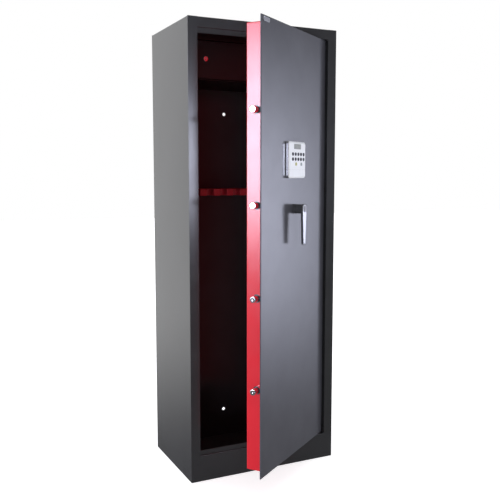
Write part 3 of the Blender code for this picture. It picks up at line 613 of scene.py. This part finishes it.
# ---- handle -------------------------------------------------------------------------------------
def handle():
    """Boss, barrel and a dark lever with a bright crowned face."""
    bore, shaft = 0.0083, 0.0080
    boss_low, boss_high = drawn_box("handle_boss")
    axis = (boss_low + boss_high) / 2
    radius = (boss_high.x - boss_low.x) / 2
    put(lathe([(bore, boss_high.y), (radius, boss_high.y), (radius, boss_low.y + 0.0008),
               (radius - 0.0003, boss_low.y + 0.0002), (radius - 0.0010, boss_low.y), (bore, boss_low.y)],
              "Y", axis), "turned_boss", "door", "dark_steel", "handle_boss")
    neck_low, neck_high = drawn_box("handle_neck")
    radius = (neck_high.x - neck_low.x) / 2
    shoulder = boss_low.y - 0.0005
    put(lathe([(0, neck_low.y), (radius - 0.0006, neck_low.y), (radius, neck_low.y + 0.0006),
               (radius, shoulder - 0.0008), (radius - 0.0008, shoulder), (shaft, shoulder),
               (shaft, neck_high.y), (0, neck_high.y)], "Y", axis), "turned_neck", "handle", "dark_steel",
        "handle_neck")

    low, high = drawn_box("lever")
    head = (high.x - low.x) / 2
    tip_half, tip_round = 0.0095, 0.003
    reach = axis.z - low.z
    face, back = low.y, high.y
    lean = math.asin((head - tip_half) / reach)

    def outline(inset):
        points = []
        for k in range(33):
            angle = -lean + (math.pi + 2 * lean) * k / 32
            points.append((axis.x + (head - inset) * math.cos(angle),
                           axis.z + (head - inset) * math.sin(angle)))
        bend_r = max(tip_round - inset, 0.0004)
        for side, first in ((-1, 180), (1, 270)):
            for k in range(7):
                angle = math.radians(first + 15 * k)
                points.append((axis.x + side * (tip_half - inset - bend_r) + bend_r * math.cos(angle),
                               axis.z - reach + inset + bend_r + bend_r * math.sin(angle)))
        return points

    split = face + 0.45 * (back - face)
    body_steps = ((0.0010, back), (0.0003, back - 0.0003), (0, back - 0.0010), (0, split + 0.0002),
                  (0.0004, split))
    face_steps = ((0.0006, split - 0.0001), (0.0001, split - 0.0004), (0, face + 0.0016),
                  (0.0003, face + 0.0009), (0.0011, face + 0.0004), (0.0030, face + 0.0001), (0.0055, face))
    put(loft(stations(outline, body_steps)), "lever_body", "handle", "dark_steel", "lever")
    put(loft(stations(outline, face_steps)), "lever_face", "handle", "handle_chrome")
    cap_low, cap_high = drawn_box("lever_cap")
    radius = (cap_high.x - cap_low.x) / 2
    dish = [(radius - 0.0016, cap_low.y + 0.0002), (radius - 0.0022, cap_low.y + 0.0004),
            (0, cap_low.y + 0.0004)]
    put(lathe([(0, cap_high.y), (radius, cap_high.y), (radius, cap_low.y + 0.0006),
               (radius - 0.0003, cap_low.y + 0.0002), (radius - 0.0008, cap_low.y)] + dish, "Y", axis),
        "dished_cap", "handle", "keypad_grey", "lever_cap")


# ---- keypad -------------------------------------------------------------------------------------
KEYS = ["key_{}".format(k) for k in range(10)] + ["button_enter", "button_clear"]
BUTTON_SLOTS = {"button_enter": "button_olive", "button_clear": "button_green"}
FLANGE = 0.0008                       # a CAD key's box is this much wider than its cap, on each side
PLAY = 0.0003                         # round a key or the display in its hole


def keypad_holes(through):
    """Cutters for the keys, the buttons and the display, from one y to another."""
    holes = []
    for node in KEYS:
        low, high = drawn_box(node)
        size = (high.x - low.x - 2 * FLANGE + 2 * PLAY, high.z - low.z - 2 * FLANGE + 2 * PLAY)
        holes.append(slab(stadium(middle_of(low, high), *size), *through))
    low, high = drawn_box("keypad_display")
    window = rounded_rectangle(low.x - PLAY, low.z - PLAY, high.x + PLAY, high.z + PLAY, 0.0015, 4)
    holes.append(slab(window, *through))
    return holes


def keypad():
    """A chrome band against the door, a white case with sloping sides, and the sliding cover below."""
    low, high = drawn_box("keypad_housing")
    foot_low, foot_high = drawn_box("key_cover")
    plate = drawn_box("keypad_base")[0].y - TOUCH
    front = low.y
    seam = (foot_high.z + low.z) / 2
    band_top = front + 0.0038
    slope_in, corner, lip, square = 0.0043, 0.008, 0.0006, 0.0004

    def half(upper, shrink=0.0):
        """The outline above or below the seam; the sides at the seam stay square."""
        def outline(inset):
            bend_r = max(corner - inset * 0.6 - shrink, 0.002)
            sides = (low.x + inset + shrink, high.x - inset - shrink)
            if upper:
                return rounded_rectangle(sides[0], seam + TOUCH / 2, sides[1], high.z - inset - shrink,
                                         bend_r, 8, square)
            return rounded_rectangle(sides[0], foot_low.z + inset + shrink, sides[1], seam - TOUCH / 2,
                                     square, 8, bend_r)
        return outline

    neck = 0.0014
    band_steps = ((0.0002, plate), (0, plate - 0.0003), (0, band_top + 0.0014), (0.0003, band_top + 0.0011))
    case_steps = ((neck, band_top + 0.0010), (neck, band_top), (0.0003, band_top), (0, band_top - 0.0003),
                  (slope_in * 0.06, band_top - 0.0010),
                  (slope_in * 0.80, front + lip), (slope_in, front + 0.0001), (slope_in + 0.0008, front))

    case = put(loft(stations(half(True), case_steps)), "keypad_case", "door", "keypad_white",
               "keypad_housing")
    groove = block((low.x + slope_in + 0.004, front - 0.01, seam + 0.0066),
                   (high.x - slope_in - 0.004, front + 0.0003, seam + 0.0071))
    carve(case, keypad_holes((front - 0.01, band_top + 0.002)) + [groove])
    cover = put(loft(stations(half(False), case_steps)), "sliding_cover", "key_cover", "keypad_white",
                "key_cover")
    side, skin, sill = 0.012, 0.0022, 0.0027      # the walls left round the cover's pocket for the key lock
    carve(cover, [block((low.x + side, front + skin, foot_low.z + sill),
                        (high.x - side, band_top + 0.01, seam + 0.01))])
    for upper, name, body in ((True, "keypad_band", "door"), (False, "cover_band", "key_cover")):
        band = put(loft(stations(half(upper), band_steps)), name, body, "bolt_chrome")
        past_seam = -0.004 if upper else 0.004    # so that the cutter leaves the band open at the seam
        inside = [(x, plate + y, z + past_seam if near(z, seam, 0.002) else z)
                  for y in (0.01, -0.02) for x, z in half(upper, 0.0018)(0)]
        count = len(inside) // 2
        carve(band, [loft([inside[:count], inside[count:]])])


def key_caps():
    """Ten keys and two buttons with domed faces."""
    roll, crown = 0.0014, 0.0012
    for node in KEYS:
        low, high = drawn_box(node)
        centre = middle_of(low, high)
        width, height = high.x - low.x - 2 * FLANGE, high.z - low.z - 2 * FLANGE

        def outline(inset):
            return stadium(centre, width - 2 * inset, height - 2 * inset)

        steps = [(0, high.y), (0, low.y + crown)]
        for turn in [math.radians(a) for a in (20, 40, 60, 75, 90)]:
            steps.append((roll * (1 - math.cos(turn)), low.y + crown * (1 - math.sin(turn))))
        slot = BUTTON_SLOTS.get(node, "key_navy")
        put(loft(stations(outline, steps)), "domed_" + node, NODE_BODY[node], slot, node)


def display_window():
    """The display's pane in its window."""
    low, high = drawn_box("keypad_display")

    def outline(inset):
        return rounded_rectangle(low.x + inset, low.z + inset, high.x - inset, high.z - inset, 0.0013, 4)

    steps = ((0, high.y), (0, low.y + 0.0003), (0.0003, low.y))
    put(loft(stations(outline, steps)), "display_window", "door", "display", "keypad_display")


def flatten_faces():
    """Large faces decide the normals, so that flat sheets stay flat beside their rounded edges."""
    for piece in PIECES:
        level = piece.modifiers.new("flat faces", "WEIGHTED_NORMAL")
        level.keep_sharp = True


# ---- studio -------------------------------------------------------------------------------------
CAMERA_AT = Vector((-1.0665, -2.2709, 1.0085))
CAMERA_DOWN, CAMERA_YAW = math.radians(6.011), math.radians(25.747)
LENS = 50.78
FLOOR_HALF, FLOOR_DROP, FLOOR_GLOW = 14, 0.0002, 0.72
AMBIENT = 0.13


def camera():
    data = bpy.data.cameras.new("camera")
    data.lens = LENS
    data.sensor_width = 36
    data.clip_end = 60
    made = bpy.data.objects.new("camera", data)
    made.location = CAMERA_AT
    made.rotation_euler = Euler((math.pi / 2 - CAMERA_DOWN, 0, -CAMERA_YAW))
    bpy.context.scene.collection.objects.link(made)
    bpy.context.scene.camera = made


def floor():
    """A pale floor that glows a little, as a light table does; gloss on the safe doesn't see it."""
    bm = bmesh.new()
    bmesh.ops.create_grid(bm, x_segments=1, y_segments=1, size=FLOOR_HALF)
    mesh = bpy.data.meshes.new("floor")
    bm.to_mesh(mesh)
    bm.free()
    made, tree, shader = shader_of("floor", (0.75, 0.75, 0.76), 0.9)
    shader.inputs["Emission Color"].default_value = (1, 1, 1, 1)
    shader.inputs["Emission Strength"].default_value = FLOOR_GLOW
    mesh.materials.append(made)
    obj = bpy.data.objects.new("floor", mesh)
    obj.location.z = -FLOOR_DROP
    obj.visible_glossy = False
    bpy.context.scene.collection.objects.link(obj)


def studio():
    """Soft boxes far off as smooth patches of sky, given by compass bearing and height in degrees."""
    world = bpy.data.worlds.new("studio")
    world.use_nodes = True
    bpy.context.scene.world = world
    tree = world.node_tree
    tree.nodes.clear()
    nodes, link = tree.nodes, tree.links.new

    def maths(operation, a, b=None):
        made = nodes.new("ShaderNodeMath")
        made.operation = operation
        for socket, value in zip(made.inputs, (a, b)):
            if isinstance(value, (int, float)):
                socket.default_value = value
            elif value is not None:
                link(value, socket)
        return made.outputs[0]

    def patch(value, middle, inner, outer):
        made = nodes.new("ShaderNodeMapRange")
        made.interpolation_type = "SMOOTHSTEP"
        made.inputs["From Min"].default_value = math.radians(outer)
        made.inputs["From Max"].default_value = math.radians(inner)
        link(maths("ABSOLUTE", maths("SUBTRACT", value, math.radians(middle))), made.inputs["Value"])
        return made.outputs["Result"]

    way = nodes.new("ShaderNodeSeparateXYZ")
    link(nodes.new("ShaderNodeTexCoord").outputs["Generated"], way.inputs[0])
    east = maths("ARCTAN2", way.outputs["Y"], way.outputs["X"])
    west = maths("ARCTAN2", way.outputs["Y"], maths("MULTIPLY", way.outputs["X"], -1.0))
    height = maths("ARCSINE", way.outputs["Z"])

    def light(colour, strength):
        made = nodes.new("ShaderNodeBackground")
        made.inputs["Color"].default_value = (*colour, 1)
        if isinstance(strength, float):
            made.inputs["Strength"].default_value = strength
        else:
            link(strength, made.inputs["Strength"])
        return made.outputs[0]

    total = light((1.0, 1.0, 1.0), AMBIENT)
    for bearing, colour, power, across, up in SOFT_BOXES:
        side = west if bearing == "west" else east
        mask = maths("MULTIPLY", patch(side, *across), patch(height, *up))
        add = nodes.new("ShaderNodeAddShader")
        link(total, add.inputs[0])
        link(light(colour, maths("MULTIPLY", mask, power)), add.inputs[1])
        total = add.outputs[0]
    seen = nodes.new("ShaderNodeMixShader")
    link(nodes.new("ShaderNodeLightPath").outputs["Is Camera Ray"], seen.inputs[0])
    link(total, seen.inputs[1])
    link(light((1, 1, 1), 1.0), seen.inputs[2])
    out = nodes.new("ShaderNodeOutputWorld")
    link(seen.outputs[0], out.inputs["Surface"])


# bearing is measured from +X (east) or from -X (west) towards +Y; each patch is (middle, inner, outer)
COOL = (0.78, 0.81, 1.0)
SOFT_BOXES = (
    # on the door's face
    ("east", COOL, 6.5, (2.6, 5.6, 9.6), (-3, 1, 17)),
    # on the red housing's side
    ("west", COOL, 26.0, (-7, 8, 24), (3.7, 5.5, 9.3)),
    # on the left stile
    ("east", COOL, 19.5, (-70, 2, 8), (1.3, 2.2, 5)),
    # on the keypad's chrome band
    ("east", COOL, 16.0, (-119.5, 2.5, 5.5), (1.3, 2.5, 5.5)),
    # on the cabinet's left side
    ("east", (1.0, 1.0, 0.99), 1.05, (110, 30, 60), (19, 29, 42)),
    # overhead, all round
    ("east", (1.0, 1.0, 1.0), 1.2, (0, 180, 190), (90, 25, 60)),
)


front_frame()
cabinet_panels()
floor_mat()
fittings()
door_plate()
bolt_housing()
bolts()
badge()
handle()
keypad()
key_caps()
display_window()
flatten_faces()
camera()
floor()
studio()
bpy.context.scene.view_settings.view_transform = "Standard"
